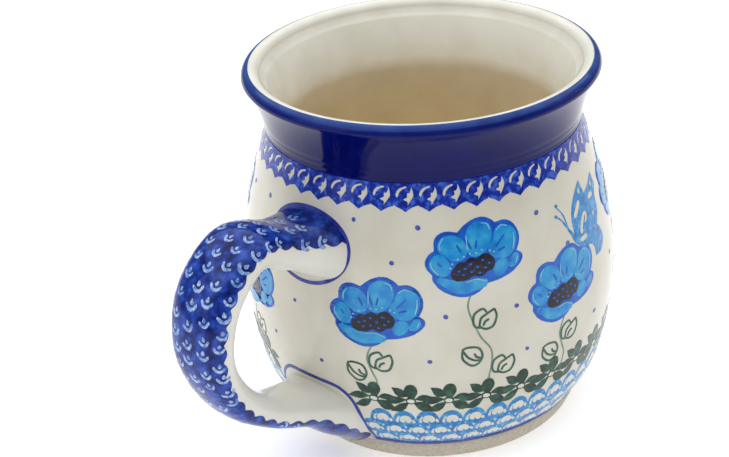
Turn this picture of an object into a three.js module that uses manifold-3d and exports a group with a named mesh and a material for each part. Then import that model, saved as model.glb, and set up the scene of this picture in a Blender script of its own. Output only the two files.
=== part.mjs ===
// A stoneware bubble mug: a round-bellied, flare-collared cup with an ear-shaped handle.
// Millimetres, +Z up. The foot stands on z = 0, the handle points along -X, and the origin is
// under the middle of the whole mug, handle included.
import * as THREE from 'three';
import { mergeVertices } from 'three/addons/utils/BufferGeometryUtils.js';
import Module from 'manifold-3d';

const wasm = await Module();
wasm.setup();

// ---- Driving dimensions ----
const HEIGHT = 97.6;
const FOOT_RADIUS = 39.2; // at the table
const FOOT_TOP_RADIUS = 41.7; // where the glaze begins
const FOOT_TOP = 6.2;
const FOOT_RING_WIDTH = 4.6;
const FOOT_RECESS = 2.4; // how far the underside is hollowed
const LOWER_BELLY = [47, 17]; // radius and height of a ring below the widest one
const BELLY_RADIUS = 49.8;
const BELLY_HEIGHT = 38.3; // height of the widest ring
const UPPER_BELLY = [47.5, 60];
const NECK_RADIUS = 41.0;
const NECK_HEIGHT = 81.2;
const RIM_RADIUS = 46;
const FLARE_PULL = [1, 8]; // from the neck, outwards and up: what the collar's curve leans towards
const LIP_ROUND = 2.35; // radius of the rounded lip
const COBALT_END = Math.PI * 0.45; // how far round the lip the cobalt reaches
const WALL = 4.8; // clay and both glaze coats together
const FLOOR_TOP = 8.4; // glazed floor inside
const FLOOR_CORNER = 11; // radius of the curve from wall to floor
const CORNER_SET_IN = 1; // the corner's curve starts this far in from the wall
const CORNER_START = -Math.PI / 8; // the corner's curve starts where it leans this much

const COAT = 0.5; // thickness of a glaze coat
const GAP = 0.3; // clearance between neighbouring solids
const CLAY_DEPTH = COAT + GAP; // the clay lies this far under the glazed surface
const SLIP_LAYER = 2; // thickness of the slip that joins handle and cup

// The handle from its upper root to its lower root: distance from the mug's axis, height,
// half the width across, and half the thickness.
const HANDLE_SECTIONS = [
  [38, 60, 14.5, 10.5], // upper root, inside the wall
  [46, 63.5, 12, 8],
  [56, 67.5, 9.5, 5.5],
  [68.5, 72, 9, 5], // top of the ear
  [79.5, 64, 9, 5],
  [83, 50, 8.5, 4.5], // furthest out
  [77.5, 36, 7.5, 4.5],
  [67, 26, 7.5, 4],
  [54, 20, 9, 5],
  [46, 16.5, 12.5, 8],
  [38, 14.5, 14.5, 12], // lower root, inside the wall
];
const HANDLE_SQUARENESS = 2.4; // 2 is an ellipse, more is boxier
const UPPER_ROOT_END = 0.3; // how far along the handle its upper root reaches
const LOWER_ROOT_START = 0.7;

// ---- Facets ----
const TURNS = 36; // round the mug's axis
const BELLY_STEPS = 12;
const FLARE_STEPS = 5;
const LIP_STEPS = 5; // over each side of the lip
const CORNER_STEPS = 3;
const HANDLE_SIDES = 18;
const HANDLE_STATIONS = 30;

// ---- Materials ----
const material = (color, roughness) => new THREE.MeshStandardMaterial({ color, roughness, metalness: 0 });
const stoneware = material(0xb4a99b, 0.85);
const slip = material(0xc4b8a6, 0.9);
const clearGlaze = material(0xdedad0, 0.14);
const cobaltGlaze = material(0x1c2f8c, 0.12);
const creamGlaze = material(0xe6dfd2, 0.14);

// ---- Solids and meshes ----
function toSolid(geometry) {
  const bare = geometry.clone();
  bare.deleteAttribute('normal');
  bare.deleteAttribute('uv');
  const merged = mergeVertices(bare);
  return new wasm.Manifold(new wasm.Mesh({
    numProp: 3,
    vertProperties: new Float32Array(merged.attributes.position.array),
    triVerts: new Uint32Array(merged.index.array),
  }));
}

function named(name, solid, itsMaterial) {
  const { vertProperties, triVerts } = solid.getMesh();
  const geometry = new THREE.BufferGeometry();
  geometry.setAttribute('position', new THREE.BufferAttribute(vertProperties, 3));
  geometry.setIndex(new THREE.BufferAttribute(triVerts, 1));
  geometry.computeVertexNormals();
  const mesh = new THREE.Mesh(geometry, itsMaterial);
  mesh.name = name;
  return mesh;
}

// ---- The cup's profile: points of radius and height, with the clay to the left of the line ----
const point = (radius, height) => new THREE.Vector2(radius, height);

function arc(centre, radius, fromAngle, toAngle, steps) {
  return Array.from({ length: steps + 1 }, (_, i) => {
    const angle = fromAngle + ((toAngle - fromAngle) * i) / steps;
    return point(centre.x + radius * Math.cos(angle), centre.y + radius * Math.sin(angle));
  });
}

// Moves a line sideways into the clay.
function inset(line, distance) {
  return line.map((p, i) => {
    const before = line[Math.max(i - 1, 0)];
    const after = line[Math.min(i + 1, line.length - 1)];
    const along = after.clone().sub(before).normalize();
    return point(p.x - along.y * distance, p.y + along.x * distance);
  });
}

function turned(outline) {
  const closed = outline[0].x > 0 ? [...outline, outline[0].clone()] : outline;
  return toSolid(new THREE.LatheGeometry(closed, TURNS).rotateX(Math.PI / 2));
}

const lipCentre = point(RIM_RADIUS - LIP_ROUND, HEIGHT - LIP_ROUND);
const belly = new THREE.SplineCurve([
  point(FOOT_TOP_RADIUS, FOOT_TOP),
  point(...LOWER_BELLY),
  point(BELLY_RADIUS, BELLY_HEIGHT),
  point(...UPPER_BELLY),
  point(NECK_RADIUS, NECK_HEIGHT),
]);
const flare = new THREE.QuadraticBezierCurve(
  point(NECK_RADIUS, NECK_HEIGHT),
  point(NECK_RADIUS, NECK_HEIGHT).add(point(...FLARE_PULL)),
  point(RIM_RADIUS, lipCentre.y),
);
const bellyLine = belly.getPoints(BELLY_STEPS);
const flareLine = flare.getPoints(FLARE_STEPS);
const collarLine = [...flareLine.slice(0, -1), ...arc(lipCentre, LIP_ROUND, 0, COBALT_END, LIP_STEPS)];

// The inside follows the outside at one wall thickness, down to a rounded corner and a flat floor.
const cornerTop = FLOOR_TOP + FLOOR_CORNER;
const wallLine = inset([...bellyLine, ...flareLine.slice(1)], WALL)
  .filter((p) => p.y > cornerTop && p.y < lipCentre.y - LIP_ROUND / 2)
  .reverse();
const cornerCentre = point(wallLine.at(-1).x - CORNER_SET_IN - FLOOR_CORNER, cornerTop);
const insideLine = [
  ...arc(lipCentre, LIP_ROUND, COBALT_END, Math.PI, LIP_STEPS),
  ...wallLine,
  ...arc(cornerCentre, FLOOR_CORNER, CORNER_START, -Math.PI / 2, CORNER_STEPS),
  point(0, FLOOR_TOP),
];

// ---- The cup's pieces ----
// A glaze coat covers one line. Its ends stop short, to keep clear of the next coat.
function coat(line) {
  const shortened = line.map((p) => p.clone());
  const stepBack = (end, next) => end.add(next.clone().sub(end).setLength(GAP / 2));
  stepBack(shortened[0], line[1]);
  if (line.at(-1).x > 0) stepBack(shortened.at(-1), line.at(-2));
  return turned([...inset(shortened, COAT).reverse(), ...shortened]);
}

function castBody() {
  const ringInside = FOOT_RADIUS - FOOT_RING_WIDTH;
  const shoulder = FOOT_TOP - GAP;
  const clayFace = inset([...bellyLine, ...collarLine.slice(1), ...insideLine.slice(1)], CLAY_DEPTH);
  return turned([
    point(0, FOOT_RECESS),
    point(ringInside - FOOT_RECESS, FOOT_RECESS),
    point(ringInside, 0),
    point(FOOT_RADIUS, 0),
    point(FOOT_TOP_RADIUS, shoulder),
    point(FOOT_TOP_RADIUS - CLAY_DEPTH, shoulder),
    ...clayFace,
  ]);
}

// Everything nearer the axis than the foot's and belly's clay face moved out by a distance.
function insideOfClayFace(movedOut) {
  const foot = [point(FOOT_RADIUS + movedOut, 0), point(FOOT_TOP_RADIUS + movedOut, FOOT_TOP - GAP)];
  const face = inset(bellyLine, CLAY_DEPTH - movedOut).slice(1);
  return turned([point(0, 0), ...foot, ...face, point(0, face.at(-1).y)]);
}

// ---- The handle ----
const handlePath = new THREE.CatmullRomCurve3(HANDLE_SECTIONS.map(([reach, height]) => (
  new THREE.Vector3(-reach, 0, height))));
const handleGirth = new THREE.SplineCurve(HANDLE_SECTIONS.map(([, , halfWidth, halfThickness]) => (
  new THREE.Vector2(halfWidth, halfThickness))));

// The handle as a bent and swelling cylinder, with its surface moved in by a distance.
function handleSolid(movedIn, from = 0, to = 1) {
  const steps = Math.round((to - from) * HANDLE_STATIONS);
  const geometry = new THREE.CylinderGeometry(1, 1, 1, HANDLE_SIDES, steps);
  const corners = geometry.attributes.position;
  const squared = (x) => Math.sign(x) * Math.abs(x) ** (2 / HANDLE_SQUARENESS);
  for (let i = 0; i < corners.count; i++) {
    const along = THREE.MathUtils.clamp(0.5 - corners.getY(i), 0, 1);
    const station = from + (to - from) * along;
    const tangent = handlePath.getTangent(station);
    const across = squared(corners.getX(i)) * (handleGirth.getPoint(station).x - movedIn);
    const out = squared(corners.getZ(i)) * (handleGirth.getPoint(station).y - movedIn);
    const centre = handlePath.getPoint(station);
    corners.setXYZ(i, centre.x - tangent.z * out, across, centre.z + tangent.x * out);
  }
  return toSolid(geometry);
}

const handleClay = handleSolid(CLAY_DEPTH);
const slipFace = insideOfClayFace(GAP);
const slipShell = insideOfClayFace(GAP + SLIP_LAYER).subtract(slipFace);
const handleSeat = insideOfClayFace(GAP + SLIP_LAYER + GAP);
const upperRoot = handleSolid(CLAY_DEPTH, 0, UPPER_ROOT_END);
const lowerRoot = handleSolid(CLAY_DEPTH, LOWER_ROOT_START, 1);

// ---- The mug ----
const mug = new THREE.Group();
mug.add(
  named('body_casting', castBody(), stoneware),
  named('handle_casting', handleClay.subtract(handleSeat), stoneware),
  named('upper_joint_slip', upperRoot.intersect(slipShell), slip),
  named('lower_joint_slip', lowerRoot.intersect(slipShell), slip),
  named('inside_glaze', coat(insideLine), creamGlaze),
  named('collar_glaze', coat(collarLine), cobaltGlaze),
  named('belly_glaze', coat(bellyLine).subtract(handleSolid(-GAP)), clearGlaze),
  named('handle_glaze', handleSolid(0).subtract(handleSolid(COAT)).subtract(slipFace), clearGlaze),
);
const extent = new THREE.Box3().setFromObject(mug);
mug.position.x = -(extent.min.x + extent.max.x) / 2;

export default mug;
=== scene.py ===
"""A stoneware bubble mug: cast cup and handle, clear and cobalt glazes, stamped and brushed flowers.

Lengths in this script are millimetres until a mesh is finished, when MM turns them to metres.
"""
import math
import random

import bmesh
import bpy
import numpy as np
from mathutils import Matrix, Vector


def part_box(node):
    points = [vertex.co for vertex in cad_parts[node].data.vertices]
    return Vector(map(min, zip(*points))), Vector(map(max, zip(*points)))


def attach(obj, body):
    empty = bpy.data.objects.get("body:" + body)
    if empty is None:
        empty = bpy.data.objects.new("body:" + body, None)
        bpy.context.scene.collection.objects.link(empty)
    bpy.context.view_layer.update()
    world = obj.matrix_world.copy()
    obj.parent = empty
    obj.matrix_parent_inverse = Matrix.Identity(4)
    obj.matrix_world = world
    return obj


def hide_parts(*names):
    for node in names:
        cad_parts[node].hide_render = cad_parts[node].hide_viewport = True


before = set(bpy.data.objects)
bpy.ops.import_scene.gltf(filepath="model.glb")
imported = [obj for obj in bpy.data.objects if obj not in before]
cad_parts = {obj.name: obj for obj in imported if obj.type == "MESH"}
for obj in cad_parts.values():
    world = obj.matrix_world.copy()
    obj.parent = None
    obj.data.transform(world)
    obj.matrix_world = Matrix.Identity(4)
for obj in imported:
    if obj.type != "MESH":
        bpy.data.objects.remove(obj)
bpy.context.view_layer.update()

MM = 0.001
TURNS = 192  # steps round the cup
draw = random.Random(11)


# ---- The cup's sizes, as in the CAD model ----
def box_centre(node):
    low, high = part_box(node)
    return (Vector(low) + Vector(high)) / 2 / MM


AXIS = Vector((box_centre("collar_glaze").x, 0, 0))
HEIGHT = 97.6
FOOT_RADIUS = 39.2
FOOT_TOP_RADIUS = 41.7
FOOT_TOP = 6.2
FOOT_RING_WIDTH = 4.6
FOOT_RECESS = 2.4
BELLY_KNOTS = [(FOOT_TOP_RADIUS, FOOT_TOP), (47, 17), (49.8, 38.3), (47.5, 60), (41.0, 81.2)]
NECK_RADIUS, NECK_HEIGHT = BELLY_KNOTS[-1]
FLARE_PULL = (1, 8)  # from the neck, outwards and up: what the collar's curve leans towards
RIM_RADIUS = 46
LIP_ROUND = 2.35
LIP_HEIGHT = HEIGHT - LIP_ROUND
COBALT_END = 0.45 * math.pi
WALL = 4.8
FLOOR_TOP = 8.4
FLOOR_CORNER = 11
CORNER_SET_IN = 1
CORNER_START = -math.pi / 8
COAT = 0.5
HANDLE_SECTIONS = [  # distance from the axis, height, half width, half thickness
    (38, 60, 14.5, 10.5),
    (46, 63.5, 12, 8),
    (56, 67.5, 9.5, 5.5),
    (68.5, 72, 9, 5),
    (79.5, 64, 9, 5),
    (83, 50, 8.5, 4.5),
    (77.5, 36, 7.5, 4.5),
    (67, 26, 7.5, 4),
    (54, 20, 9, 5),
    (46, 16.5, 12.5, 8),
    (38, 14.5, 14.5, 12),
]
HANDLE_SQUARENESS = 2.4
HANDLE_ANGLE = 180  # the handle's direction round the axis, in degrees


# ---- Curves ----
def smooth_line(knots, places, power=0.0):
    """Points of a Catmull-Rom curve at places from 0 to 1. The first and last knots only steer it."""
    knots = np.asarray(knots, float)
    spans = len(knots) - 3
    line = []
    for place in places:
        span = min(int(place * spans), spans - 1)
        t = place * spans - span
        a, b, c, d = knots[span:span + 4]
        ab = np.linalg.norm(b - a) ** power
        bc = np.linalg.norm(c - b) ** power
        cd = np.linalg.norm(d - c) ** power
        leave = bc * ((b - a) / ab - (c - a) / (ab + bc) + (c - b) / bc)
        arrive = bc * ((c - b) / bc - (d - b) / (bc + cd) + (d - c) / cd)
        line.append(b + leave * t + (3 * (c - b) - 2 * leave - arrive) * t ** 2
                    + (2 * (b - c) + leave + arrive) * t ** 3)
    return np.array(line)


def arc(centre, radius, start, end, steps):
    angles = np.linspace(start, end, steps + 1)
    return [(centre[0] + radius * math.cos(a), centre[1] + radius * math.sin(a)) for a in angles]


def run_along(line):
    """The distance along a line at each of its points."""
    return np.concatenate([[0], np.cumsum(np.hypot(*np.diff(line, axis=0).T))])


def inset(line, distance):
    """A profile line moved sideways into the clay, which lies to its left."""
    line = np.asarray(line, float)
    along = np.gradient(line, axis=0)
    along /= np.hypot(*along.T)[:, None]
    return line + distance * np.stack([-along[:, 1], along[:, 0]], axis=1)


# ---- The cup's outline ----
belly_line = smooth_line([BELLY_KNOTS[0], *BELLY_KNOTS, BELLY_KNOTS[-1]], np.linspace(0, 1, 65))
belly_run = run_along(belly_line)
belly_slope = np.gradient(belly_line, belly_run, axis=0)
lip_centre = (RIM_RADIUS - LIP_ROUND, LIP_HEIGHT)


def flare(t):
    start = np.array(BELLY_KNOTS[-1])
    pull = start + FLARE_PULL
    end = np.array((RIM_RADIUS, LIP_HEIGHT))
    return (1 - t) ** 2 * start + 2 * t * (1 - t) * pull + t ** 2 * end


flare_line = np.array([flare(t) for t in np.linspace(0, 1, 29)])
THROWN_GROOVES = ((82.6, 0.22), (84.2, 0.16))  # height and depth of the turned lines under the collar
GROOVE_WIDTH = 0.35


def with_grooves(line):
    """The collar's line with its turned grooves and a soft lower edge."""
    line = np.array(line)
    for height, depth in THROWN_GROOVES:
        line[:, 0] -= depth * np.exp(-((line[:, 1] - height) / GROOVE_WIDTH) ** 2)
    return line


# ---- Materials ----
def colour(code):
    """An sRGB hex colour as linear RGBA."""
    parts = [int(code[i:i + 2], 16) / 255 for i in (0, 2, 4)]
    return [c / 12.92 if c <= 0.04045 else ((c + 0.055) / 1.055) ** 2.4 for c in parts] + [1]


def add(tree, kind, settings=None, inputs=None, stops=()):
    """Adds a node and returns its outputs. An input is given a value, or the output that feeds it,
    and a colour ramp its stops of (place, hex colour)."""
    node = tree.nodes.new(kind)
    for name, value in (settings or {}).items():
        setattr(node, name, value)
    for name, value in (inputs or {}).items():
        if isinstance(value, bpy.types.NodeSocket):
            tree.links.new(value, node.inputs[name])
        else:
            node.inputs[name].default_value = value
    for _ in stops[2:]:
        node.color_ramp.elements.new(0.5)
    for number, (place, code) in enumerate(stops):
        node.color_ramp.elements[number].position = place
        node.color_ramp.elements[number].color = colour(code)
    return node.outputs


def per_metre(size):
    """A noise's scale for patches of a size in millimetres."""
    return 1 / (size * MM)


def new_material(name):
    """An empty material with its Principled shader and its Object coordinates."""
    material = bpy.data.materials.new(name)
    material.use_nodes = True
    tree = material.node_tree
    place = add(tree, "ShaderNodeTexCoord")["Object"]
    return material, tree, tree.nodes["Principled BSDF"], place


RIPPLE_SIZE = 7.0
RIPPLE_HEIGHT = 0.012
# The colour sockets of a Mix node, by number, because several share a name.
MIX_FACTOR, MIX_UNDER, MIX_OVER, MIX_RESULT = 0, 6, 7, 2


def glaze(name, stops, patch, grade=None, roughness=(0.07, 0.14), ior=1.4):
    """Fired glossy glaze: cloudy pigment under glass whose surface is a little uneven, so its
    reflections waver. Patch is the size of the clouds. A grade of stops between two heights is
    painted shade and painted reflection, multiplied into the colour."""
    material, tree, shader, place = new_material(name)
    clouds = add(tree, "ShaderNodeTexNoise", inputs={
        "Vector": place, "Scale": per_metre(patch), "Detail": 3.0})["Fac"]
    pigment = add(tree, "ShaderNodeValToRGB", inputs={"Fac": clouds}, stops=stops)["Color"]
    if grade:
        # Painted shade and painted reflection, graded by height and multiplied into the pigment.
        graded_stops, low, high = grade
        height = add(tree, "ShaderNodeSeparateXYZ", inputs={"Vector": place})["Z"]
        share = add(tree, "ShaderNodeMapRange", inputs={
            "Value": height, "From Min": low * MM, "From Max": high * MM})["Result"]
        painted_light_colour = add(tree, "ShaderNodeValToRGB", inputs={"Fac": share}, stops=graded_stops)["Color"]
        pigment = add(tree, "ShaderNodeMix", {"data_type": "RGBA", "blend_type": "MULTIPLY"}, {
            MIX_FACTOR: 1.0, MIX_UNDER: painted_light_colour, MIX_OVER: pigment})[MIX_RESULT]
    swell = add(tree, "ShaderNodeTexNoise", inputs={
        "Vector": place, "Scale": per_metre(RIPPLE_SIZE), "Detail": 1.0})["Fac"]
    gloss = add(tree, "ShaderNodeMapRange", inputs={
        "Value": swell, "To Min": roughness[0], "To Max": roughness[1]})["Result"]
    bump = add(tree, "ShaderNodeBump", inputs={
        "Height": swell, "Strength": 1.0, "Distance": RIPPLE_HEIGHT * MM})["Normal"]
    tree.links.new(pigment, shader.inputs["Base Color"])
    tree.links.new(gloss, shader.inputs["Roughness"])
    tree.links.new(bump, shader.inputs["Normal"])
    shader.inputs["IOR"].default_value = ior
    return material


def bare_clay(name, stops, grit, bump_height):
    """Unglazed fired stoneware: matt, with grit and darker specks of the grit's size."""
    material, tree, shader, place = new_material(name)
    grain = add(tree, "ShaderNodeTexNoise", inputs={
        "Vector": place, "Scale": per_metre(grit), "Detail": 6.0, "Roughness": 0.65})["Fac"]
    clay = add(tree, "ShaderNodeValToRGB", inputs={"Fac": grain}, stops=stops)["Color"]
    bump = add(tree, "ShaderNodeBump", inputs={"Height": grain, "Distance": bump_height * MM})["Normal"]
    tree.links.new(clay, shader.inputs["Base Color"])
    tree.links.new(bump, shader.inputs["Normal"])
    shader.inputs["Roughness"].default_value = 0.8
    return material


# Stoneware clay, cast and wiped bare at the foot: grey-tan, matt and faintly gritty.
stoneware = bare_clay("bare stoneware", [(0.25, "A3998B"), (0.5, "C6BEAE"), (0.75, "D6D0C0")], 0.9, 0.1)
# Dried slip, squeezed from the joint when handle and cup are pressed together: paler and smoother.
joining_slip = bare_clay("dried joining slip", [(0.3, "A79B88"), (0.7, "CFC4B0")], 0.5, 0.08)
# Clear glaze, dipped, over pale stoneware: a warm grey-white, glossy and faintly cloudy.
clear_glaze = glaze("clear glaze on stoneware", [(0.3, "CCC8B9"), (0.7, "D7D4C9")], 14.0)
# The same glaze on the handle, painted lighter and cooler: painted light where the handle faces the lamps.
handle_glaze = glaze("clear glaze on the handle with painted light", [(0.3, "DAD8CE"), (0.7, "E4E3DC")], 14.0)
# Clear glaze poured inside: pale, with painted shade that turns it tan towards the bottom and lighter
# towards the rim.
inside_glaze = glaze(
    "cream glaze inside", [(0.3, "F2F0EC"), (0.7, "FFFFFF")], 12.0,
    grade=([(0.0, "E5BD65"), (0.35, "EED084"), (0.7, "F2EFDA"), (1.0, "F0F0E7")], FLOOR_TOP, 88))
# Cobalt glaze, dipped: near navy, with a brighter blue on lip and neck painted as painted reflection.
cobalt_glaze = glaze(
    "cobalt glaze", [(0.3, "B8BCE0"), (0.7, "FFFFFF")], 6.0,
    grade=([(0.0, "1A2A90"), (0.06, "080E5C"), (0.84, "060C58"), (0.93, "0E2272"), (1.0, "30569C")],
           NECK_HEIGHT - 0.4, HEIGHT),
    roughness=(0.05, 0.1), ior=1.24)
# Cobalt pressed on with a cut sponge, then glazed over: strong blue, mottled by the sponge's pores.
cobalt_stamp = glaze("stamped cobalt", [(0.3, "0A1A80"), (0.5, "1232A0"), (0.66, "3E66CC")], 1.6)
# Cobalt drawn round with a loaded brush: violet-blue, denser where the brush slowed.
cobalt_line = glaze("brushed cobalt line", [(0.3, "1E2482"), (0.7, "3C4AAC")], 3.0)
# Cobalt touched on with a brush's tip: a soft dark dot.
cobalt_dot = glaze("cobalt dot", [(0.3, "2E3C96"), (0.7, "5C6CB6")], 1.5)
# Azure stain brushed on thinly: clear blue, greener and paler where it pooled thin.
azure_wash = glaze("azure petal wash", [(0.28, "0E6CC0"), (0.5, "2090D0"), (0.75, "48AACA")], 3.6)
# The same stain twice over at the petals' edges: a stronger, darker blue.
petal_blue = glaze("petal outline blue", [(0.3, "0A48B4"), (0.7, "1C66CA")], 2.5)
# Stain wiped back to the glaze with a dry brush: pale thin lights.
petal_light = glaze("pale petal highlight", [(0.3, "68ACD8"), (0.7, "92C4E2")], 2.0)
# Black stain dabbed on for the flower's heart: almost black, with blue showing through.
flower_black = glaze("dark flower heart", [(0.4, "05030A"), (0.6, "100A20"), (0.72, "26387C")], 0.8)
# Green stain stamped on with a sponge: dark bottle green, paler where the sponge held less.
leaf_green = glaze("leaf green", [(0.28, "06241E"), (0.5, "123C30"), (0.75, "3A6C54")], 2.2)
# Green stain thinned for the stems: a faint grey-green line.
stem_green = glaze("thin stem green", [(0.3, "5E7A66"), (0.7, "869C88")], 2.0)
# Green stain drawn with a fine brush round the buds.
bud_green = glaze("bud outline green", [(0.3, "1E4A3C"), (0.7, "446E5C")], 2.0)
# Sky-blue stain stamped on with a sponge: clear blue, uneven from pore to pore.
sky_blue = glaze("sky blue stamp", [(0.3, "0E62AA"), (0.5, "1C80C2"), (0.72, "56A8D8")], 1.4)
# Places that the stamp leaves bare, seen through the clear glaze.
bare_white = glaze("glaze left white", [(0.3, "CECDC2"), (0.7, "D8D8D0")], 5.0)
# Cobalt laid over the handle with a wide sponge: dark to mid blue in overlapping dabs.
sponge_blue = glaze(
    "sponged cobalt", [(0.3, "0A1150"), (0.44, "122878"), (0.56, "1E3E9E"), (0.72, "3A5EBA")], 2.4, ior=1.3)
# Where the sponge's print stayed thin: pale blue with soft dark flecks.
sponge_light = glaze("pale sponge print", [(0.36, "4A6EB8"), (0.5, "86A4D8"), (0.66, "B4C6E4")], 0.9)


# ---- Finishing a piece ----
def finish_piece(name, bm, material, replaced=(), normals=None):
    """Turns a bmesh in millimetres into a finished piece of the mug."""
    bmesh.ops.scale(bm, verts=bm.verts, vec=(MM, MM, MM))
    for face in bm.faces:
        face.smooth = True
    mesh = bpy.data.meshes.new(name)
    bm.to_mesh(mesh)
    bm.free()
    mesh.materials.append(material)
    if normals is not None:
        mesh.normals_split_custom_set_from_vertices(normals)
    piece = bpy.data.objects.new(name, mesh)
    bpy.context.collection.objects.link(piece)
    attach(piece, "root")
    if replaced:
        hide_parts(*replaced)
    return piece


def spun(outline):
    """A closed outline of (radius, height) turned once round the mug's axis."""
    bm = bmesh.new()
    verts = [bm.verts.new((AXIS.x + radius, 0, height)) for radius, height in outline]
    edges = [bm.edges.new((verts[i - 1], verts[i])) for i in range(len(verts))]
    bmesh.ops.spin(bm, geom=verts + edges, cent=AXIS, axis=(0, 0, 1), angle=2 * math.pi,
                   steps=TURNS, use_merge=True, dvec=(0, 0, 0))
    bmesh.ops.remove_doubles(bm, verts=bm.verts, dist=0.002)
    bmesh.ops.recalc_face_normals(bm, faces=bm.faces)
    return bm


def coat_of(line):
    """The closed outline of a glaze coat whose outside is the line."""
    under = inset(line, COAT)
    return [*map(tuple, line), *map(tuple, under[::-1])]


# ---- The cup ----
collar_line = [*flare_line[:-1], *arc(lip_centre, LIP_ROUND, 0, COBALT_END, 8)]
corner_top = FLOOR_TOP + FLOOR_CORNER
outside = [*belly_line, *flare_line[1:]]
wall_line = [p for p in inset(outside, WALL) if corner_top < p[1] < LIP_HEIGHT - LIP_ROUND / 2][::-1]
corner_centre = (wall_line[-1][0] - CORNER_SET_IN - FLOOR_CORNER, corner_top)
FLOOR_SAG = 0.2  # the floor dips this much at its middle
inside_line = [
    *arc(lip_centre, LIP_ROUND, COBALT_END, math.pi, 10),
    *wall_line,
    *arc(corner_centre, FLOOR_CORNER, CORNER_START, -math.pi / 2, 8),
    (12, FLOOR_TOP - 0.75 * FLOOR_SAG),
    (0, FLOOR_TOP - FLOOR_SAG),
]
FOOT_EDGE = 0.3  # how much the foot's edges are rounded


def stoneware_body():
    ring_inside = FOOT_RADIUS - FOOT_RING_WIDTH
    glaze_line = [*belly_line, *collar_line[1:], *inside_line[1:]]
    return spun([
        (0, FOOT_RECESS),
        (ring_inside - FOOT_RECESS, FOOT_RECESS),
        (ring_inside - FOOT_EDGE, FOOT_EDGE),
        (ring_inside, 0),
        (FOOT_RADIUS - FOOT_EDGE, 0),
        (FOOT_RADIUS, FOOT_EDGE),
        (FOOT_TOP_RADIUS, FOOT_TOP - FOOT_EDGE),
        *map(tuple, inset(glaze_line, COAT)),
    ])


finish_piece("stoneware_body", stoneware_body(), stoneware, ["body_casting"])
finish_piece("belly_coat", spun(coat_of(belly_line)), clear_glaze, ["belly_glaze"])
finish_piece("collar_coat", spun(coat_of(with_grooves(collar_line))), cobalt_glaze,
             ["collar_glaze"])
finish_piece("inside_coat", spun(coat_of(inside_line)), inside_glaze, ["inside_glaze"])


# ---- The handle's surface ----
def beyond(a, b):
    return tuple(2 * p - q for p, q in zip(a, b))


stations = np.linspace(0, 1, 241)
path_knots = [(-reach, height) for reach, height, _, _ in HANDLE_SECTIONS]
path_ends = beyond(path_knots[0], path_knots[1]), beyond(path_knots[-1], path_knots[-2])
girth_knots = [section[2:] for section in HANDLE_SECTIONS]
handle_path = smooth_line([path_ends[0], *path_knots, path_ends[1]], stations, 0.5)
handle_girth = smooth_line([girth_knots[0], *girth_knots, girth_knots[-1]], stations)
handle_tangent = np.gradient(handle_path, axis=0)
handle_tangent /= np.hypot(*handle_tangent.T)[:, None]
outward = np.stack([handle_tangent[:, 1], -handle_tangent[:, 0]], axis=1)
handle_run = run_along(handle_path + outward * handle_girth[:, 1:])
HANDLE_LENGTH = handle_run[-1]


def squared(x):
    return np.sign(x) * np.abs(x) ** (2 / HANDLE_SQUARENESS)


def at_station(table, station):
    return np.stack([np.interp(station, stations, column) for column in table.T], axis=-1)


def handle_point(station, turn, lift):
    """Points and normals of the handle's surface; turn is the angle round its section, and pi/2
    is the middle of the outer face."""
    centre = at_station(handle_path, station)
    out = at_station(outward, station)
    girth = at_station(handle_girth, station)
    across = squared(np.cos(turn))
    away = squared(np.sin(turn))
    steep = HANDLE_SQUARENESS - 1
    nx = np.sign(across) * np.abs(across) ** steep / girth[..., 0]
    nz = np.sign(away) * np.abs(away) ** steep / girth[..., 1]
    size = np.hypot(nx, nz)
    nx, nz = nx / size, nz / size
    normals = np.stack([out[..., 0] * nz, nx, out[..., 1] * nz], axis=-1)
    points = np.stack([
        centre[..., 0] + out[..., 0] * away * girth[..., 1],
        across * girth[..., 0],
        centre[..., 1] + out[..., 1] * away * girth[..., 1],
    ], axis=-1)
    return points + normals * np.asarray(lift)[..., None], normals


ROOT_DEPTH = 1.6  # the handle's skin ends this far inside the cup's wall
COATED = (0.02, 0.99)  # the stations between which the handle has its skin


def kept_in_wall(points, depth=ROOT_DEPTH):
    """Moves points that would stand inside the cup out into its wall, and onto the mug's axis."""
    radius = np.hypot(points[:, 0], points[:, 1])
    least = np.interp(points[:, 2], belly_line[:, 1], belly_line[:, 0]) - depth
    grow = np.maximum(radius, least) / radius
    moved = points.copy()
    moved[:, 0] *= grow
    moved[:, 1] *= grow
    moved[:, 0] += AXIS.x
    return moved


HALF_TURNS = np.linspace(math.pi / 2, 3 * math.pi / 2, 97)
OUTER_QUARTER = len(HALF_TURNS) // 2 + 1


def half_round(station):
    """The distance round the section from the middle of its outer face, at each of HALF_TURNS."""
    girth = at_station(handle_girth, station)
    return run_along(np.stack([squared(np.cos(HALF_TURNS)), squared(np.sin(HALF_TURNS))], axis=1) * girth)


def turn_at(station, across):
    """The turn that lies a distance across from the middle of the outer face."""
    turns = np.empty_like(across)
    for i, (place, distance) in enumerate(zip(station, across)):
        turn = np.interp(abs(distance), half_round(place), HALF_TURNS)
        turns[i] = turn if distance > 0 else math.pi - turn
    return turns


def quarter_length(station):
    """The distance round the section from the middle of the outer face to the middle of a side."""
    return np.array([half_round(place)[OUTER_QUARTER - 1] for place in np.atleast_1d(station)])


def handle_coat():
    """A grid wrapped round the handle's path, closed at both roots."""
    bm = bmesh.new()
    bmesh.ops.create_grid(bm, x_segments=280, y_segments=96, size=0.5)
    flat = np.array([v.co for v in bm.verts])
    station = np.interp(flat[:, 0], (-0.5, 0.5), COATED)
    points, _ = handle_point(station, (flat[:, 1] + 0.5) * 2 * math.pi, np.zeros(len(flat)))
    for vert, place in zip(bm.verts, kept_in_wall(points)):
        vert.co = place
    bmesh.ops.remove_doubles(bm, verts=bm.verts, dist=0.003)
    bmesh.ops.holes_fill(bm, edges=[e for e in bm.edges if e.is_boundary], sides=0)
    bmesh.ops.recalc_face_normals(bm, faces=bm.faces)
    return bm


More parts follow.
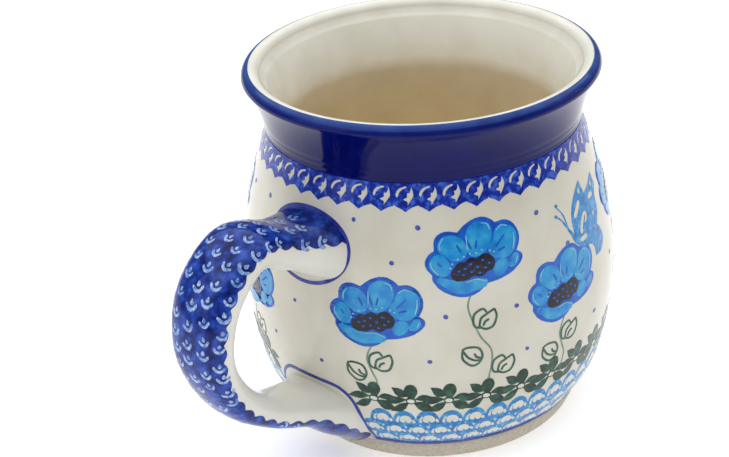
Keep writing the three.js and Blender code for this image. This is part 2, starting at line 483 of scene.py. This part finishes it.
finish_piece("handle_coat", handle_coat(), handle_glaze, ["handle_glaze"])
for node, material in (
        ("handle_casting", stoneware),
        ("upper_joint_slip", joining_slip),
        ("lower_joint_slip", joining_slip)):
    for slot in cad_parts[node].material_slots:
        slot.material = material


# ---- Painted marks ----
# A mark is drawn flat: x to the right and y up. A corner is a point with a third value.
CORNER = True
BACK = -0.12  # a mark's back lies this deep in the glaze
CELL = 2.2  # a mark is cut into cells of this size, so that it can bend with the cup


def stroke(knots, width, ends=0.45):
    """The outline of a brush stroke through the knots, thinner towards its ends."""
    places = np.linspace(0, 1, 3 * len(knots) + 1)
    line = smooth_line([knots[0], *knots, knots[-1]], places)
    along = np.gradient(line, axis=0)
    along /= np.hypot(*along.T)[:, None]
    side = np.stack([-along[:, 1], along[:, 0]], axis=1)
    half = width / 2 * (ends + (1 - ends) * np.sin(math.pi * places) ** 0.6)[:, None]
    return [*map(tuple, line + side * half), *map(tuple, (line - side * half)[::-1])]


def oval(x, y, width, height, knots=8):
    return [(x + width / 2 * math.cos(a), y + height / 2 * math.sin(a))
            for a in np.linspace(0, 2 * math.pi, knots, endpoint=False)]


def flat_mark(*outlines, smoothness=3, cell=CELL):
    """A filled outline, with any others as holes in it, as a flat mesh one unit thick."""
    curve = bpy.data.curves.new("mark", "CURVE")
    curve.dimensions = "2D"
    curve.fill_mode = "BOTH"
    for outline in outlines:
        spline = curve.splines.new("BEZIER")
        spline.bezier_points.add(len(outline) - 1)
        spline.resolution_u = smoothness
        spline.use_cyclic_u = True
        for knot, (x, y, *corner) in zip(spline.bezier_points, outline):
            knot.co = (x, y, 0)
            knot.handle_left_type = knot.handle_right_type = "VECTOR" if corner else "AUTO"
    filled = bpy.data.objects.new("mark", curve)
    mesh = bpy.data.meshes.new_from_object(filled)
    bm = bmesh.new()
    bm.from_mesh(mesh)
    bpy.data.objects.remove(filled)
    bpy.data.curves.remove(curve)
    bmesh.ops.remove_doubles(bm, verts=bm.verts, dist=0.01)
    for axis in range(2):
        reach = [v.co[axis] for v in bm.verts]
        direction = Vector((axis == 0, axis == 1, 0))
        for cut in np.arange(math.ceil(min(reach) / cell) * cell, max(reach), cell):
            bmesh.ops.bisect_plane(bm, geom=[*bm.verts, *bm.edges, *bm.faces], dist=0.001,
                                   plane_co=direction * cut, plane_no=direction)
    raised = bmesh.ops.extrude_face_region(bm, geom=bm.faces[:])
    bmesh.ops.translate(bm, verts=[v for v in raised["geom"] if isinstance(v, bmesh.types.BMVert)],
                        vec=(0, 0, 1))
    bmesh.ops.recalc_face_normals(bm, faces=bm.faces)
    bm.to_mesh(mesh)
    bm.free()
    return mesh


def placed(mark, x, y, tilt=0, size=1.0):
    """The mark's points after it is turned, sized and moved in the flat."""
    points = np.array([v.co for v in mark.vertices])
    c, s = math.cos(math.radians(tilt)) * size, math.sin(math.radians(tilt)) * size
    return np.stack([x + c * points[:, 0] - s * points[:, 1], y + s * points[:, 0] + c * points[:, 1],
                     points[:, 2]], axis=1)


def on_belly(flat, lift, angle):
    """Bends flat points onto the cup. Their y is the distance up from the foot line, and their x is
    the distance round from an angle, in degrees from the handle."""
    radius = np.interp(flat[:, 1], belly_run, belly_line[:, 0])
    height = np.interp(flat[:, 1], belly_run, belly_line[:, 1])
    rise = np.stack([np.interp(flat[:, 1], belly_run, column) for column in belly_slope.T], axis=1)
    turn = np.radians(HANDLE_ANGLE + angle) + flat[:, 0] / radius
    proud = BACK + (lift - BACK) * flat[:, 2]
    out = np.stack([rise[:, 1] * np.cos(turn), rise[:, 1] * np.sin(turn), -rise[:, 0]], axis=1)
    points = np.stack([AXIS.x + radius * np.cos(turn), radius * np.sin(turn), height], axis=1)
    return points + out * proud[:, None], out


# The line round the lower root is an arch, a little squarer than an ellipse.
ARCH_HALF_WIDTH = 13.5
ARCH_TOP = 21.2
ARCH_SQUARENESS = 4


def arch_reach(up):
    """Half the arch's width at a distance up from the foot line."""
    rest = 1 - np.clip(up / ARCH_TOP, 0, 1) ** ARCH_SQUARENESS
    return ARCH_HALF_WIDTH * rest ** (1 / ARCH_SQUARENESS)


def arch_line(inside):
    """The arch's line from foot to foot, or one a distance inside it."""
    heights = (ARCH_TOP - inside) * np.sin(np.linspace(0, math.pi / 2, 9))
    rising = [(arch_reach(up) - inside, up) for up in heights]
    return [*rising, *((-x, up) for x, up in rising[-2::-1])]


def inside_arch(angle, up):
    from_handle = abs((angle + 180) % 360 - 180)
    return math.radians(from_handle) * np.interp(up, belly_run, belly_line[:, 0]) < arch_reach(up)


def on_handle(flat, lift, _):
    """Bends flat points onto the handle. Their y runs back along it from its lower root, and their x
    across it from the middle of its outer face."""
    station = np.interp(HANDLE_LENGTH - flat[:, 1], handle_run, stations)
    turn = turn_at(station, flat[:, 0])
    points, normals = handle_point(station, turn, BACK + (lift - BACK) * flat[:, 2])
    return kept_in_wall(points, ROOT_DEPTH - 0.3), normals


class Paint:
    """A painted piece: marks are laid on a surface one by one."""

    def __init__(self, surface):
        self.bm = bmesh.new()
        self.normal = self.bm.verts.layers.float_vector.new("surface normal")
        self.surface = surface

    def lay(self, mark, lift, angle=0, x=0, y=0, **turned):
        points, normals = self.surface(placed(mark, x, y, **turned), lift, angle)
        first = len(self.bm.verts)
        self.bm.from_mesh(mark)
        self.bm.verts.ensure_lookup_table()
        for vert, point, normal in zip(self.bm.verts[first:], points, normals):
            vert.co = point
            vert[self.normal] = normal

    def done(self, name, material, slot):
        normals = [vert[self.normal] for vert in self.bm.verts]
        self.bm.verts.layers.float_vector.remove(self.normal)
        return finish_piece(name, self.bm, material, normals=normals)


# ---- Poppies ----
# Millimetres from the flower's middle, drawn to the nearest half.
POPPY_EDGE = [
    (-13, -1), (-12, 1.5), (-10.5, 2.5, CORNER), (-10, 5.5), (-7.5, 7), (-4.5, 6.5, CORNER),
    (-2, 8.5), (1.5, 9.5), (4, 8.5), (5, 7.5, CORNER), (8, 7.5), (10.5, 5), (11, 2), (10, -0.5, CORNER),
    (11.5, -2), (10, -4.5), (5.5, -6.5), (2, -7, CORNER), (-2, -9.5), (-7, -9), (-11.5, -5),
    (-11.5, -3.5, CORNER)]
PETALS = [
    [(-12, -1), (-11, 1), (-9, 1.5), (-7.5, 0), (-7, -2.5), (-8.5, -4), (-11, -3)],
    [(-9.5, 2.5), (-9, 5), (-7, 6), (-4.5, 5.5), (-3, 4), (-3, 0.5), (-5.5, -0.5), (-8, 1)],
    [(-2.5, 3.5), (-2.5, 6), (-1, 8), (1.5, 8.5), (3.5, 7.5), (4, 5.5), (3, 2.5), (1, 0.5), (-2, 0.5)],
    [(2.5, 1), (4, 3.5), (5, 6), (7.5, 6.5), (10, 4.5), (10, 1.5), (8.5, -1), (5.5, -1.5)],
    [(8, -2.5), (9.5, -1), (10.5, -2), (9.5, -4), (7.5, -4)],
    [(4, -2.5), (7, -2), (7, -4.5), (4, -5.5)],
    [(-10.5, -4.5), (-7, -5), (-3.5, -5.5), (-0.5, -5.5), (2, -6.5), (-2, -8.5), (-6, -8.5), (-9, -6.5)],
]
PETAL_LIGHTS = [
    [(-9, 2.5), (-9, 4), (-8, 5.5)],
    [(-11.5, 0), (-11.5, -1.5), (-10, -3.5)],
    [(-2.5, 5.5), (-2.5, 4), (-2.5, 2)],
    [(1.5, 8), (3, 7.5), (3.5, 6)],
    [(5, 5.5), (6.5, 6.5), (8, 6)],
    [(9.5, 4), (9.5, 2), (9, 0)],
    [(10, -2), (9.5, -3.5)],
    [(-3.5, -6), (-1, -5.5), (1.5, -6.5)],
]
PETAL_STROKES = [
    [(-5, 3.5), (-4, 1.5)],
    [(-2.5, 4.5), (-1.5, 2)],
    [(0, 4), (-0.5, 2)],
    [(7, 4), (4.5, 1.5)],
    [(7, 1), (5, 0.5)],
    [(-10, -0.5), (-9, -1.5)],
]
HEART = [
    (-7, -3.5), (-6, -2, CORNER), (-5, -1), (-3.5, -1, CORNER), (-2, 0), (-0.5, -0.5, CORNER), (1.5, 0.5),
    (3, 0, CORNER), (4, -1.5), (3.5, -3.5), (2, -4, CORNER), (0.5, -5), (-1.5, -4.5, CORNER), (-4, -5.5),
    (-6.5, -5)]
HEART_DABS = [(-5, -3), (-3.5, -2.5), (-4, -4), (-2, -1.5), (-2, -3.5), (-0.5, -2.5), (0, -4), (1, -1),
              (1.5, -3), (2.5, -2)]
STAMENS = [(-7, -2), (-6.5, -1), (-5, 0), (-3.5, 0.5), (-2, 1), (-0.5, 1), (1, 1.5), (3, 1), (4, 0.5)]

poppy_edge = flat_mark(POPPY_EDGE)
petals = [flat_mark(petal) for petal in PETALS]
petal_lights = [flat_mark(stroke(knots, 0.28)) for knots in PETAL_LIGHTS]
petal_strokes = [flat_mark(stroke(knots, 0.55)) for knots in PETAL_STROKES]
heart = flat_mark(HEART)
heart_dabs = [flat_mark(oval(x, y, 0.75, 0.55, 6), smoothness=2) for x, y in HEART_DABS]
stamens = [flat_mark(oval(x, y, 0.55, 0.45, 6), smoothness=2) for x, y in STAMENS]

# Angle from the handle, height up from the foot line, tilt and size of each poppy. They stand
# alternately low and high, at even steps round the back.
TALL, LOW = 59, 44.8
BACK_STEP = 29.9
POPPIES = [(-25, 41.5, -4, 0.9), (24.9, 45.2, 0, 1), (54.6, 58.7, 0, 1), (84, LOW, -5, 1)]
POPPIES += [(126 + BACK_STEP * i, (TALL, LOW)[i % 2], (6, 2, -5)[i % 3], 1) for i in range(7)]


def paint_poppies():
    edges, washes, lights, hearts = (Paint(on_belly) for _ in range(4))
    for angle, up, tilt, size in POPPIES:
        place = {"angle": angle, "y": up, "tilt": tilt, "size": size}
        edges.lay(poppy_edge, 0.05, **place)
        for i, petal in enumerate(petals):
            washes.lay(petal, 0.075 + 0.003 * i, **place)
        for mark in petal_strokes:
            edges.lay(mark, 0.115, **place)
        for mark in petal_lights:
            lights.lay(mark, 0.12, **place)
        hearts.lay(heart, 0.13, **place)
        for mark in heart_dabs:
            edges.lay(mark, 0.15, **place)
        for mark in stamens:
            lights.lay(mark, 0.15, **place)
    edges.done("poppy_outlines", petal_blue, "clear_glaze")
    washes.done("poppy_petals", azure_wash, "clear_glaze")
    lights.done("poppy_highlights", petal_light, "clear_glaze")
    hearts.done("poppy_hearts", flower_black, "clear_glaze")


paint_poppies()

# ---- Stems and buds: each hangs from its poppy, in the flat, from the poppy's centre ----
LEFT_BUD = [  # one leaf pointed up to the left, cupped in a second one
    [(-2.5, 2), (-1, 2.5), (1.5, 2), (2.5, 0), (2, -1.5), (0.5, -1.5)],
    [(0.5, -1.5), (-1, -0.5), (-2, 1), (-2.5, 2)],
    [(-2.5, 1.5), (-2.5, -0.5), (-1.5, -2), (0, -3), (1.5, -2.5), (2.5, -1)],
    [(0.5, 0.5), (1, -0.5), (2, -1)],
]
RIGHT_BUD = [  # one leaf pointed up to the right, with a second one behind its left side
    [(2.5, 2.5), (3, 0.5), (2, -2), (0, -2.5), (-1.5, -1.5)],
    [(-1.5, -1.5), (-1, 0.5), (0.5, 1.5), (2.5, 2.5)],
    [(0.5, 2), (-0.5, 3), (-2.5, 2), (-3, 0), (-2.5, -1.5), (-1, -2)],
    [(-0.5, -1.5), (0, -0.5), (1, 0)],
]
BUD_LINE = 0.62
left_bud = [flat_mark(stroke(knots, BUD_LINE, ends=0.8)) for knots in LEFT_BUD]
right_bud = [flat_mark(stroke(knots, BUD_LINE, ends=0.8)) for knots in RIGHT_BUD]
LOW_STEM = [(-2, -9), (-3.5, -13), (-2.5, -17), (-1.5, -20), (-2, -24)]
TALL_STEM = [(-2.5, -9), (-3.5, -13), (-1, -20.5), (2, -26), (1, -34.5)]
LOW_BUDS = [(left_bud, -6.5, -17.5), (right_bud, 0, -14)]
TALL_BUDS = [(right_bud, 0.5, -16.5), (left_bud, -3, -26), (right_bud, 5, -30.5)]
low_stem = flat_mark(stroke(LOW_STEM, 0.5, ends=0.8))
tall_stem = flat_mark(stroke(TALL_STEM, 0.5, ends=0.8))
TALL_FROM = 52  # poppies above this height have the tall stem


def paint_stems():
    stems, buds = Paint(on_belly), Paint(on_belly)
    for angle, up, _, _ in POPPIES:
        tall = up > TALL_FROM
        stems.lay(tall_stem if tall else low_stem, 0.03, angle=angle, y=up)
        for bud, x, y in TALL_BUDS if tall else LOW_BUDS:
            for i, line in enumerate(bud):
                buds.lay(line, 0.05 + 0.004 * i, angle=angle, x=x, y=up + y)
    stems.done("stems", stem_green, "clear_glaze")
    buds.done("buds", bud_green, "clear_glaze")


paint_stems()

# ---- Butterflies ----
WINGS = [
    (1, 9, CORNER), (-2.5, 6.5), (-5.5, 2.5), (-6, -2), (-5.5, -5), (-3.5, -7.5), (0, -8), (2, -9.5),
    (2.5, -12.5, CORNER), (5.5, -12.5), (8, -10.5), (7.5, -7.5), (5.5, -5, CORNER), (7.5, -1), (7.5, 2),
    (9, 4.5), (8.5, 8, CORNER), (5, 6), (2, 5, CORNER), (1.5, 7.5)]
WING_WINDOWS = [
    oval(0, 6.5, 1, 1.5, 6),
    oval(7, 5.5, 1, 1.5, 6),
    [(-4.5, 1), (-3, 3.5), (-1, 4.5), (-2.5, 2)],
    [(3.5, 3), (5, 4), (6.5, 3), (5, 2.5)],
    [(-3, -4), (-2.5, -1), (0.5, 1), (0.5, -1.5), (-1.5, -2), (-2, -3.5)],
    [(-4, -5), (-2.5, -4.5), (-0.5, -5), (-2, -6)],
    oval(4.5, -1.5, 1, 1.5, 6),
    oval(3.5, -4.5, 0.5, 1, 6),
]
WING_VEIN = [(-2, -3), (-1, -1.5), (0, 0)]
FEELERS = [
    [(-10, 6), (-8.5, 3.5), (-8, 0.5), (-7.5, -1)],
    [(-11, 4), (-9.5, 2.5), (-8.5, 0.5), (-7.5, -1)],
    [(-8, -0.5), (-7, -2), (-5.5, -5), (-2.5, -7)],
]
FEELER_TIPS = [(-10, 6.5), (-11, 4)]
BUTTERFLIES = [(97, 58.2, 0, 1)]
BUTTERFLIES += [(126 + BACK_STEP * i, 64, 4, 0.75) for i in (1, 3, 5)]  # above the low poppies behind


def paint_butterflies():
    stamp = [flat_mark(WINGS, *WING_WINDOWS), flat_mark(stroke(WING_VEIN, 0.4))]
    stamp += [flat_mark(stroke(knots, width)) for knots, width in zip(FEELERS, (0.45, 0.45, 0.9))]
    stamp += [flat_mark(oval(x, y, 0.9, 0.9, 6), smoothness=2) for x, y in FEELER_TIPS]
    flight = Paint(on_belly)
    for angle, up, tilt, size in BUTTERFLIES:
        for i, mark in enumerate(stamp):
            flight.lay(mark, 0.055 + 0.006 * i, angle=angle, y=up, tilt=tilt, size=size)
    flight.done("butterflies", sky_blue, "clear_glaze")


paint_butterflies()

# ---- Stamped borders ----
GREEN_PETALS = [
    [(-4.5, 4.5, CORNER), (-2, 4), (-0.5, 1.5, CORNER), (-3, 1.5)],
    [(-0.5, 1, CORNER), (-1.5, 3.5), (0.5, 5.5), (2, 3.5), (1, 1, CORNER)],
    [(1, 0.5, CORNER), (3, 2), (6, 1, CORNER), (3.5, 0)],
    [(0.5, -0.5, CORNER), (3.5, -0.5), (5.5, -3, CORNER), (2.5, -3.5)],
    [(-0.5, -0.5, CORNER), (-3, -1), (-5.5, -3.5, CORNER), (-2.5, -3.5)],
    [(-1, 0.5, CORNER), (-4, 1.5), (-7, -0.5, CORNER), (-4, -1)],
]
GREEN_FLOWERS = 32
GREEN_FLOWER_UP = 19.4
SCALES = 50  # in each row
SCALE_ROWS = (12.4, 8, 3.6)  # the rows' heights above the foot line
SCALE_ARCH = [(-3, -2.5, CORNER), (-3, 0), (-2, 2.5), (0, 3.5), (2, 2.5), (3, 0), (3, -2.5, CORNER)]
SCALE_FAN = [(-1.5, -0.5), (-1.5, 1), (0, 2), (1.5, 1), (1.5, -0.5), (0.5, -1), (0, 0, CORNER), (-0.5, -1)]
SCALE_GAPS = [
    [(-2.5, -1), (-2.5, 0.5), (-1.5, 1.5), (-2, 0.5), (-2, -1)],
    [(2, 0.5), (2.5, 0), (2.5, -1), (2, -1)],
    oval(-2.5, -2, 0.5, 0.5, 6),
]
SCALLOPS = 47
SCALLOP_UP = 74.3
SCALLOP_TONGUE = [(-3, 3.5, CORNER), (-3, -1), (-2.5, -2), (-1.5, -2.5), (0, -3.5, CORNER), (1.5, -2.5),
                  (3, -2, CORNER), (3, 3.5, CORNER)]
SCALLOP_HOLES = [
    [(-2, 0), (-2, 1.5), (-0.5, 2.5), (0.5, 2.5), (-0.5, 2), (-1.5, 1)],
    [(-0.5, -0.5), (0.5, 0), (0.5, 1), (1, 1), (1.5, 2.5, CORNER), (2, 0.5), (1.5, -0.5), (0.5, -2, CORNER),
     (0.5, -1)],
]


def paint_green_border():
    stamp = [flat_mark(petal, cell=3) for petal in GREEN_PETALS]
    stamp.append(flat_mark(oval(0, 0.1, 2.6, 2.2), cell=3))
    eye = flat_mark(oval(0, 0, 1.9, 1.3), smoothness=2)
    flowers, eyes = Paint(on_belly), Paint(on_belly)
    for i in range(GREEN_FLOWERS):
        angle = 21.6 + 360 / GREEN_FLOWERS * i
        if inside_arch(angle, 0):
            continue
        tilt = draw.uniform(-3, 3)
        up = GREEN_FLOWER_UP + draw.uniform(-0.2, 0.2)
        for k, petal in enumerate(stamp):
            flowers.lay(petal, 0.07 + 0.006 * k + 0.003 * (i % 2), angle=angle, y=up, tilt=tilt)
        eyes.lay(eye, 0.13, angle=angle, y=up, tilt=tilt - 8)
    flowers.done("green_flower_border", leaf_green, "clear_glaze")
    eyes.done("green_flower_eyes", bare_white, "clear_glaze")


def paint_scale_band():
    arch = flat_mark(SCALE_ARCH, cell=3)
    whites = [flat_mark(outline, smoothness=2, cell=3) for outline in (SCALE_FAN, *SCALE_GAPS)]
    blue, white = Paint(on_belly), Paint(on_belly)
    for row, up in enumerate(SCALE_ROWS):
        for i in range(SCALES):
            angle = 360 / SCALES * (i + 0.5 * (row % 2)) + 1.5
            if inside_arch(angle, up):
                continue
            y = up + draw.uniform(-0.15, 0.15)
            tilt = draw.uniform(-6, 6)
            base = 0.03 + 0.02 * row + 0.005 * (i % 2)
            blue.lay(arch, base, angle=angle, y=y, tilt=tilt)
            for mark in whites:
                white.lay(mark, base + 0.012, angle=angle, x=0.3, y=y, tilt=tilt, size=0.94)
    blue.done("scale_band", sky_blue, "clear_glaze")
    white.done("scale_band_whites", bare_white, "clear_glaze")


def paint_scallops():
    tongue = flat_mark(SCALLOP_TONGUE, *SCALLOP_HOLES, smoothness=2, cell=3)
    border = Paint(on_belly)
    for i in range(SCALLOPS):
        angle = 33.2 + 360 / SCALLOPS * i
        border.lay(tongue, 0.06 + 0.01 * (i % 2), angle=angle, y=SCALLOP_UP, tilt=draw.uniform(-2, 2))
    border.done("scallop_border", cobalt_stamp, "cobalt_glaze")


paint_green_border()
paint_scale_band()
paint_scallops()

# ---- Dots, the foot line and the lines round the handle's roots ----
DOTS = [(-36, 65), (-21, 66), (16.5, 68), (37, 67), (29, 58.3), (-3.4, 43), (-14, 30), (5.5, 28), (44, 44.3),
        (39, 32), (65, 44), (68, 31), (76, 65.4), (86, 54.5), (97.5, 30.7), (112, 41.5)]
BACK_DOTS = [(5, 66), (14, 34), (19, 66)]  # steps on from each poppy behind, and heights
FOOT_LINE = 1.5
LINE_WIDTH = 0.95
OVAL_UP = 58.9
OVAL_HALF_WIDTH = 13.2
OVAL_HALF_HEIGHT = 10
CAP_SCALLOPS = 5
CAP_PRINTS = [(-7.5, 64.5, 12), (0.5, 65, 0), (7, 64.5, -12)]  # angle, height up, tilt
PRINT_CUP = [(-1.5, 0.5), (-1.5, -0.5), (0, -1.5), (1, -1), (1.5, 0.5), (0.5, -0.5), (-0.5, -0.5)]
PRINT_DROP = [(0, 1.5, CORNER), (0.5, 0.5), (0, 0), (-0.5, 0.5)]


def sponge_print():
    """A pale cup with a drop over it, as the cut sponge leaves it."""
    return flat_mark(PRINT_CUP, smoothness=2), flat_mark(PRINT_DROP, smoothness=2)


def paint_dots():
    dot = flat_mark(oval(0, 0, 1.15, 1.3), smoothness=2)
    dots = Paint(on_belly)
    behind = [(126 + BACK_STEP * i + step, up) for i in range(6) for step, up in BACK_DOTS[(i + 1) % 2:]]
    for angle, up in DOTS + behind:
        dots.lay(dot, 0.05, angle=angle, y=up, tilt=draw.uniform(0, 180), size=draw.uniform(0.85, 1.15))
    dots.done("dots", cobalt_dot, "clear_glaze")


def foot_line():
    """A line brushed round the glaze's lower edge, its width a little uneven."""
    section = [(0, BACK), (0, 0.11), (FOOT_LINE / 2, 0.12), (FOOT_LINE, 0.11), (FOOT_LINE, BACK)]
    bm = spun([on_profile(up, lift) for up, lift in section])
    for vert in bm.verts:
        if vert.co.z > FOOT_TOP + FOOT_LINE / 2:
            turn = math.atan2(vert.co.y, vert.co.x - AXIS.x)
            vert.co.z += 0.14 * math.sin(7 * turn) + 0.1 * math.sin(19 * turn + 1)
    return bm


def on_profile(up, lift):
    """A point of the cup's outline, as radius and height."""
    radius, height = (np.interp(up, belly_run, column) for column in belly_line.T)
    along_r, along_z = (np.interp(up, belly_run, column) for column in belly_slope.T)
    return radius + along_z * lift, height - along_r * lift


def paint_root_lines():
    """Round the upper root the line is an oval. Round the lower one it is an arch on the foot line."""
    lines = Paint(on_belly)
    rings = [oval(0, 0, 2 * (OVAL_HALF_WIDTH - width), 2 * (OVAL_HALF_HEIGHT - width), 24)
             for width in (0, LINE_WIDTH)]
    lines.lay(flat_mark(*rings), 0.07, y=OVAL_UP)
    lines.lay(flat_mark(stroke(arch_line(0), LINE_WIDTH, ends=0.9)), 0.16)
    lines.done("root_lines", cobalt_line, "cobalt_glaze")


def paint_root_apron():
    """Inside the arch the joint is smoothed over with plain glaze, over the ends of the borders."""
    apron = Paint(on_belly)
    (left, foot), *over, (right, _) = arch_line(LINE_WIDTH / 4)
    apron.lay(flat_mark([(left, foot, CORNER), *over, (right, foot, CORNER)]), 0.145)
    apron.done("root_apron", clear_glaze, "clear_glaze")


def paint_root_cap():
    """The blue reaches over the upper root as far as the oval, with scallops along its lower edge."""
    width, height = OVAL_HALF_WIDTH - 0.4, OVAL_HALF_HEIGHT - 0.4
    crown = [(width * math.cos(a), height * math.sin(a)) for a in np.linspace(0.25, math.pi - 0.25, 13)]
    crown[0] += (CORNER,)
    crown[-1] += (CORNER,)
    scallops = []
    for i in range(CAP_SCALLOPS):
        left = -width + 2 * width * i / CAP_SCALLOPS
        pitch = 2 * width / CAP_SCALLOPS
        scallops += [(left + 0.25 * pitch, 1), (left + 0.75 * pitch, 1), (left + pitch, 2.5, CORNER)]
    cap = Paint(on_belly)
    cap.lay(flat_mark([*crown, *scallops[:-1]]), 0.06, y=OVAL_UP)
    cap.done("root_cap", sponge_blue, "cobalt_glaze")
    prints = Paint(on_belly)
    for angle, up, tilt in CAP_PRINTS:
        for mark in sponge_print():
            prints.lay(mark, 0.11, angle=angle, y=up, tilt=tilt)
    prints.done("root_cap_prints", sponge_light, "cobalt_glaze")


paint_dots()
finish_piece("foot_line", foot_line(), cobalt_line)
paint_root_lines()
paint_root_apron()
paint_root_cap()

# ---- The handle's sponged blue and its prints ----
SPONGE_PITCH = 5.0
SPONGE_BUMP = 1.0
SPONGE_LIFT = 0.09
SPONGED = (0.03, 0.99)  # how far along the handle the sponging starts and ends
SPONGE_REACH = 0.94  # how far it reaches, as a share of the way round to the middle of a side
ROOT_SPREAD = 0.6  # how much further it reaches at the upper root, on its +Y side
ROOT_RISE = 0.12  # how much less it reaches there on the other side
ROOT_PINCH = 0.25  # how much less it reaches at the lower root
UPPER_ROOT_LENGTH = 22
LOWER_ROOT_LENGTH = 12
PRINT_PITCH = 4.6
PRINT_COLUMNS = np.linspace(-0.78, 0.78, 5)  # as shares of the way round to the middle of a side
PRINTS_FROM = (24, 15)  # no prints this near the handle's lower and upper ends
PRINTS_THIN = 52  # below this distance from the lower end few prints came out
MISSED = 0.06  # the share of prints that did not come out
MISSED_LOW = 0.7


def handle_sponge():
    """A film over the outer face, with scalloped edges at the middles of the sides."""
    bm = bmesh.new()
    bmesh.ops.create_grid(bm, x_segments=300, y_segments=40, size=0.5)
    raised = bmesh.ops.extrude_face_region(bm, geom=bm.faces[:])
    bmesh.ops.translate(bm, verts=[v for v in raised["geom"] if isinstance(v, bmesh.types.BMVert)],
                        vec=(0, 0, 1))
    flat = np.array([v.co for v in bm.verts])
    run = HANDLE_LENGTH * np.interp(flat[:, 0], (-0.5, 0.5), SPONGED)
    station = np.interp(run, handle_run, stations)
    side = flat[:, 1] * 2
    spread = np.where(side < 0, ROOT_SPREAD, -ROOT_RISE) * np.exp(-(run / UPPER_ROOT_LENGTH) ** 2)
    pinch = ROOT_PINCH * np.exp(-((HANDLE_LENGTH - run) / LOWER_ROOT_LENGTH) ** 2)
    reach = np.interp(station, stations[::4], quarter_length(stations[::4]))
    scallop = SPONGE_BUMP * (1 - np.abs(np.sin(math.pi * run / SPONGE_PITCH)))
    edge = reach * (SPONGE_REACH + spread - pinch) - scallop
    turn = turn_at(station, side * edge)
    points, normals = handle_point(station, turn, BACK + (SPONGE_LIFT - BACK) * flat[:, 2])
    for vert, place in zip(bm.verts, kept_in_wall(points, ROOT_DEPTH - 0.3)):
        vert.co = place
    bmesh.ops.recalc_face_normals(bm, faces=bm.faces)
    return bm, normals


def paint_handle():
    sponge, normals = handle_sponge()
    finish_piece("handle_sponge", sponge, sponge_blue, normals=normals)
    prints = Paint(on_handle)
    marks = sponge_print()
    for i, column in enumerate(PRINT_COLUMNS):
        first = PRINTS_FROM[0] + PRINT_PITCH / 2 * (i % 2)
        for y in np.arange(first, HANDLE_LENGTH - PRINTS_FROM[1], PRINT_PITCH):
            station = np.interp(HANDLE_LENGTH - y, handle_run, stations)
            place = {"x": column * quarter_length(station)[0] + draw.uniform(-0.5, 0.5),
                     "y": y + draw.uniform(-0.6, 0.6),
                     "tilt": draw.uniform(-22, 22),
                     "size": draw.uniform(0.8, 1.1)}
            missed = draw.random() < (MISSED_LOW if y < PRINTS_THIN else MISSED)
            for mark in () if missed else marks:
                prints.lay(mark, SPONGE_LIFT + 0.05, **place)
    prints.done("handle_prints", sponge_light, "cobalt_glaze")


paint_handle()


# ---- Floor, light and camera ----
VIEW_TURN = 42.7  # the way the camera looks, round from +X, in degrees
VIEW_DOWN = 28.1
VIEW_ROLL = -3.8
VIEW_DISTANCE = 405
AIM_LEFT = 17  # the camera looks this far left of the mug's axis
AIM_HEIGHT = 48.3
LENS = 74

ahead = Vector((math.cos(math.radians(VIEW_TURN)), math.sin(math.radians(VIEW_TURN)), 0))
rightward = Vector((ahead.y, -ahead.x, 0))


def place_camera():
    aim = AXIS - rightward * AIM_LEFT + Vector((0, 0, AIM_HEIGHT))
    down = math.radians(VIEW_DOWN)
    look = ahead * math.cos(down) - Vector((0, 0, math.sin(down)))
    data = bpy.data.cameras.new("camera")
    data.lens = LENS
    data.clip_start = 10 * MM
    camera = bpy.data.objects.new("camera", data)
    camera.location = (aim - look * VIEW_DISTANCE) * MM
    roll = Matrix.Rotation(math.radians(VIEW_ROLL), 4, "Z")
    turn = look.to_track_quat("-Z", "Y").to_matrix().to_4x4() @ roll
    camera.rotation_euler = turn.to_euler()
    bpy.context.collection.objects.link(camera)
    bpy.context.scene.camera = camera


def softbox(name, right, back, up, width, height, watts, tint="FFFFFF"):
    """A large soft light; right, back and up are its distances from the mug as the camera sees it."""
    data = bpy.data.lights.new(name, "AREA")
    data.shape = "RECTANGLE"
    data.size = width * MM
    data.size_y = height * MM
    data.energy = watts
    data.color = colour(tint)[:3]
    light = bpy.data.objects.new(name, data)
    place = AXIS + rightward * right + ahead * back + Vector((0, 0, up))
    aim = AXIS + Vector((0, 0, AIM_HEIGHT))
    light.location = place * MM
    light.rotation_euler = (aim - place).to_track_quat("-Z", "Y").to_euler()
    bpy.context.collection.objects.link(light)


FLOOR_GLOW = 0.4  # the board gives off a little light of its own, a painted glow that softens the shadows


def lay_floor():
    bm = bmesh.new()
    bmesh.ops.create_grid(bm, x_segments=1, y_segments=1, size=4.0)
    mesh = bpy.data.meshes.new("floor")
    bm.to_mesh(mesh)
    bm.free()
    material, tree, shader, place = new_material("white matt board")
    clouds = add(tree, "ShaderNodeTexNoise", inputs={"Vector": place, "Scale": per_metre(60)})["Fac"]
    shade = add(tree, "ShaderNodeValToRGB", inputs={"Fac": clouds},
                stops=[(0.3, "F6F6F6"), (0.7, "FAFAFA")])["Color"]
    tree.links.new(shade, shader.inputs["Base Color"])
    shader.inputs["Roughness"].default_value = 0.9
    # The board's own glow: painted light that lifts the shadows on it.
    shader.inputs["Emission Color"].default_value = colour("FFFFFF")
    shader.inputs["Emission Strength"].default_value = FLOOR_GLOW
    mesh.materials.append(material)
    floor = bpy.data.objects.new("floor", mesh)
    bpy.context.collection.objects.link(floor)


def light_world():
    world = bpy.data.worlds.new("studio")
    world.use_nodes = True
    world.node_tree.nodes["Background"].inputs["Color"].default_value = colour("F6F6F4")
    world.node_tree.nodes["Background"].inputs["Strength"].default_value = 0.28
    bpy.context.scene.world = world


place_camera()
lay_floor()
light_world()
softbox("left box", -620, -260, 420, 520, 620, 0.8)
softbox("right box", 680, 60, 380, 420, 620, 0.4)
softbox("top box", 0, 120, 1000, 2200, 2200, 20.2)
bpy.context.scene.view_settings.view_transform = "Standard"
